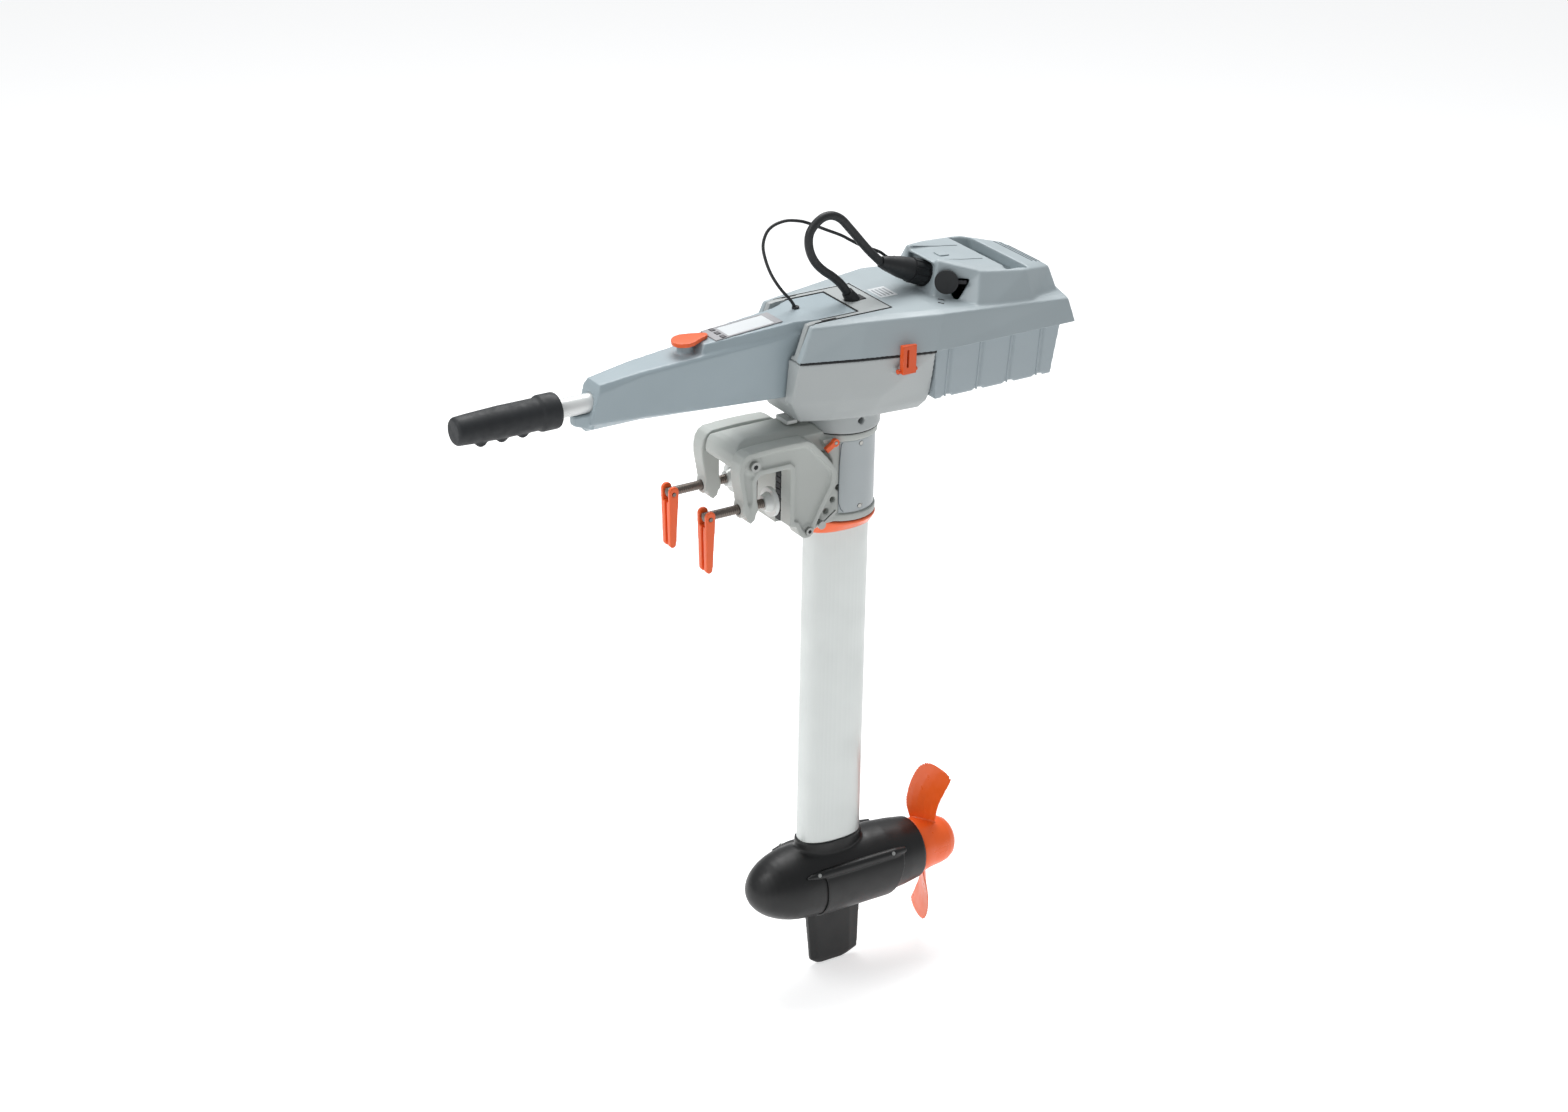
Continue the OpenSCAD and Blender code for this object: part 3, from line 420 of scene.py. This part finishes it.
power_route = [
    (120, 0, 186), (114, 0, 194), (108, 0, 202), (101, 0, 210), (91, 0, 219), (79, 0, 228), (68, 0, 239),
    (60, 0, 252), (56, 0, 266), (57, 0, 280), (65, 0, 291), (77, 0, 298), (90, 0, 298),
    (103, 0, 291), (115, 0, 278), (127, 0, 264), (138, 0, 251), (148, 0, 240), (157, 0, 231), (164, 0, 224),
]
data_route = [
    (44, 9, 183), (37, 9, 194), (21, 9, 213), (8, 9, 233), (0, 10, 253), (-4, 10, 272), (1, 11, 287),
    (12, 12, 295), (29, 12, 298), (47, 12, 295), (63, 13, 289), (89, 14, 276), (113, 15, 264),
    (129, 17, 254), (147, 18, 243), (162, 20, 236), (176, 21, 229), (184, 22, 223), (190, 22, 218),
]


power_path = curve(power_route)
power = put(tube("power_cable_tube", power_path, 5.5), "power_cable_tube", CABLE, "head", ["power_cable"],
            60)
data_path = curve(data_route)
data = put(tube("data_cable_tube", data_path, 2.0, 16), "data_cable_tube", CABLE, None, ["data_cable"],
           60)
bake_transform(data)

# ---- Castings and mouldings ----

recast("clamp_arm_port", CAST, 1.3, 6)
recast("clamp_arm_starboard", CAST, 1.3, 6)
swivel_housing = recast("swivel_housing", CAST, 1.4, 5)
swivel_cover = recast("swivel_cover", COVER, 1.1, 3)
head_housing = recast("head_housing", HEAD, 1.6, 5, grooves=[
    rod((STEER_X + 36 * x, 36 * y, LOCK_Z), (STEER_X + 60 * x, 60 * y, LOCK_Z), 4.35)
    for x, y in ((-1, 0), (0, 1), (0, -1))
])
head_cover = recast("head_cover", HEAD, 1.2, 3)
battery_upper_shell = recast("battery_upper_shell", SHELL, 1.6, 6)
# Lower shell in the shell plastic with painted shade.
recast("battery_lower_shell", SHADED_SHELL, 1.5, 4)
tiller_body = recast("tiller_body", TILLER, 1.4, 5)
recast("throttle_grip", RUBBER, 1.2, 5, adds=[
    rod((x, -9, 106), (x, 9, 106), 8) for x in (-404, -376, -348)
])
pod_housing = recast("pod_housing", POD, 1.6, 4)
fin = recast("fin", POD, 1.2, 4)
recast("clamp_handle_port", ORANGE, 0.8, 4)
recast("clamp_handle_starboard", ORANGE, 0.8, 4)
recast("kill_switch_key", ORANGE, 0.7, 4)
recast("propeller", PROP, 1.0, 5)
recast("shaft_collar", COLLAR, 1.1, 3)

# ---- Seams, joint gap, notches, slots and sockets in painted shadow, and small fittings ----

# Painted shadow: near-black for the shade inside gaps, seams, notches, slots and bolt sockets.
SHADOW_FILL = surface("painted_gap_shadow", (14, 16, 18), 0.7, grain=1500, grain_bump=0.1, wear=0)
LINE = surface("seam_shadow", (92, 102, 108), 0.6, grain=1500, grain_bump=0.05, wear=0)
LABEL = surface("blank_label", (226, 230, 232), 0.3, grain=1200, grain_bump=0.02, wear=0)
BAR = surface("label_bar", (150, 156, 160), 0.4, wear=0)

deck = surface_of(head_cover, battery_upper_shell)
joint = surface_of(head_housing, battery_upper_shell)
shell = surface_of(battery_upper_shell)
tiller = surface_of(tiller_body)
column = surface_of(swivel_housing, swivel_cover)
lower = surface_of(pod_housing, fin)

SIDES = ((-1, "port"), (1, "starboard"))
for side, mark in SIDES:
    # Painted shadow: a black band along the gap of the head/battery joint.
    seam("joint_shadow_" + mark, joint, flipped([(8.5, 61, 137), (80, 86, 137), (130, 99, 137), (178, 108, 137)], side),
         2.1, SHADOW_FILL, "head", 12, shift=(0, -1.5 * side, 0))
    # Painted shadow: dark lines along the deck, front and plate seams.
    seam("deck_shadow_line_" + mark, deck, flipped([(46, 48.2, 183), (149.2, 48.2, 183)], side), 1.0, SHADOW_FILL, "head")
    seam("front_shadow_line_" + mark, deck, flipped([
        (46, 48, 183), (36, 48, 182), (30.6, 48, 171), (23.6, 48, 157), (15.4, 48, 138),
    ], side), 1.0, SHADOW_FILL, "head")
    seam("plate_shadow_line_" + mark, deck, flipped([(48, 39.3, 183.5), (104.5, 39.3, 183.5)], side), 0.9, SHADOW_FILL,
         "head")
    # Painted shadow: dark block in the deck notch.
    put(block((47, side * 46.4 - 1.5, 180), (68, side * 46.4 + 1.5, 183.5)), "notch_shadow_" + mark, SHADOW_FILL,
        "head")
    seam("panel_line_" + mark, shell, flipped([(232, 28, 224), (300, 28, 214)], side), 0.55, LINE, "head")
    seam("column_line_" + mark, column, flipped([
        (93, 42.6, 17), (84, 41.6, 10), (82, 41, -20), (82, 41, -70), (85, 42.7, -80), (94, 43, -88),
    ], side), 0.5, LINE, "swivel")
# Ribs on the lower shell, in the shell plastic with painted shade.
for x in (208, 256, 303, 349):
    for side, mark in SIDES:
        put(rod((x - 3.4, side * 91.2, 68), (x - 3.4, side * 97.7, 134), 1.3, 16), "rib_%s_%d" % (mark, x),
            SHADED_SHELL, "head")
# Painted shadow: dark lines along the rear deck and plate seams.
seam("deck_shadow_line_rear", deck, [(149.2, -48.2, 183), (149.2, 48.2, 183)], 1.0, SHADOW_FILL, "head")
seam("plate_shadow_line_rear", deck, [(104.8, -39.3, 183.5), (104.8, 39.3, 183.5)], 0.9, SHADOW_FILL, "head")
# Painted shadow: dark lines in the two vent slots.
VENTS = (
    ((218.3, -49.5, 181.5), (222.8, -56.1, 181.2)),
    ((210.3, -61.1, 181.5), (214.7, -67.7, 181.2)),
)
for k, (a, b) in enumerate(VENTS):
    seam("vent_slot_%d" % (k + 1), shell, [a, b], 0.9, SHADOW_FILL, "head")
for k, (x, low, high, z) in enumerate(((370.5, -39, 45, 203), (376, -41, 39, 202), (381, -41, 28, 200))):
    seam("bar_groove_%d" % (k + 1), shell, [(x, low, z), (x, high, z)], 0.8, LINE, "head")
put(block((156, -15, 180), (181, 18, 183.25)), "blank_label", LABEL, "head")
for k in range(4):
    put(block((158.5 + 5.5 * k, -11, 182), (161 + 5.5 * k, 13, 183.4)), "label_bar_%d" % (k + 1), BAR, "head")

# Painted shadow: dark ring in the gap at the turret.
ring_shadow = rod((STEER_X, 0, 23.9), (STEER_X, 0, 25.3), 51.6, 96)
combine(ring_shadow, "DIFFERENCE", [rod((STEER_X, 0, 20), (STEER_X, 0, 30), 34, 96)])
put(ring_shadow, "turret_gap_shadow", SHADOW_FILL, "head")
put(rod((44, 9, 180), (44.4, 9, 185.2), 4.6), "data_cable_grommet", RUBBER, "tiller")
put(block((121, -8, 181), (138, 8, 184)), "gland_foot", RUBBER, "head")
for side, mark in SIDES:
    for k, x in enumerate((62, 180)):
        near = lower.find_nearest(Vector((x, side * 58, -600)))[0]
        put(rod(near - Vector((0, side * 3, 1)), near + Vector((0, side * 0.6, 0.3)), 2.6, 24),
            "pod_screw_%s_%d" % (mark, k + 1), BOLT, "head")
    for k, (x, z) in enumerate(((106, 15), (112, -77))):
        near = column.find_nearest(Vector((x, side * 46, z)))[0]
        put(rod(near - Vector((0, side * 1.5, 0)), near + Vector((0, side * 0.9, 0)), 2.6, 24),
            "cover_screw_%s_%d" % (mark, k + 1), SCREW, "swivel")


def threaded(side, mark):
    """Clamp screw with a rounded thread of 3 mm pitch, and the cross pin of its handle."""
    pitch, steps, sides, length, start = 3, 8, 28, 95, -120.5
    y = side * SCREW_Y
    rings = []
    for k in range(int(length / pitch * steps) + 1):
        x = start + pitch * k / steps
        end = min(1.0, (x - start) / 1.5 + 0.2)
        rings.append([
            (x, y + r * math.cos(t), SCREW_Z + r * math.sin(t))
            for t in (2 * math.pi * i / sides for i in range(sides))
            for r in [end * (5.62 + 0.36 * math.cos(2 * math.pi * x / pitch - t))]
        ])
    rod_piece = loft("thread", rings)
    combine(rod_piece, "UNION", [rod((HANDLE_X, y - 11.6, SCREW_Z), (HANDLE_X, y + 11.6, SCREW_Z), 2.5)])
    put(rod_piece, "clamp_screw_%s_thread" % mark, SCREW, "screw_" + mark, ["clamp_screw_" + mark])


threaded(-1, "port")
threaded(1, "starboard")
for side, mark in SIDES:
    # Painted shadow: dark hexagons in the tilt and tie bolt sockets.
    for name, (x, z), size in (("tilt", (-53, 14), 3.4), ("tie", (29, -92), 2.7)):
        out = 58.9 if name == "tilt" else 57.9
        corners = [math.radians(60 * k + 10) for k in range(6)]
        outline = [(x + size * math.cos(t), z + size * math.sin(t)) for t in corners]
        put(prism(outline, "y", *sorted((side * (out - 1), side * (out + 0.15)))),
            "%s_socket_%s" % (name, mark), SHADOW_FILL, "clamp")

# ---- Stage and light ----

floor = block((-30000, -30000, -790), (30000, 30000, -775))
floor.name = "floor"
paper = bpy.data.materials.new("paper")
paper.use_nodes = True
paper_shader = paper.node_tree.nodes["Principled BSDF"]
paper_shader.inputs["Base Color"].default_value = (0.75, 0.75, 0.75, 1)
paper_shader.inputs["Roughness"].default_value = 0.9
paper_shader.inputs["Emission Color"].default_value = (1, 1, 1, 1)
paper_shader.inputs["Emission Strength"].default_value = 0.56
floor.data.materials.append(paper)

world = bpy.data.worlds.new("studio")
world.use_nodes = True
world.node_tree.nodes["Background"].inputs["Color"].default_value = (0.96, 0.98, 1.0, 1)
world.node_tree.nodes["Background"].inputs["Strength"].default_value = 0.42
scene.world = world


def lamp(name, place, target, size, power_watts):
    data_block = bpy.data.lights.new(name, "AREA")
    data_block.shape = "RECTANGLE"
    data_block.size, data_block.size_y = size
    data_block.energy = power_watts
    obj = bpy.data.objects.new(name, data_block)
    scene.collection.objects.link(obj)
    obj.location = place
    obj.rotation_euler = (Vector(target) - Vector(place)).to_track_quat("-Z", "Y").to_euler()


lamp("top_back", (0.9, 1.4, 2.6), (0.1, 0, 0), (2.6, 1.8), 92)
lamp("left", (-2.6, -0.6, 0.9), (0.1, 0, -0.1), (1.6, 2.2), 10)
lamp("top_left", (-1.9, 0.5, 1.9), (-0.1, 0, -0.1), (1.0, 1.0), 20)
scene.view_settings.view_transform = "Standard"
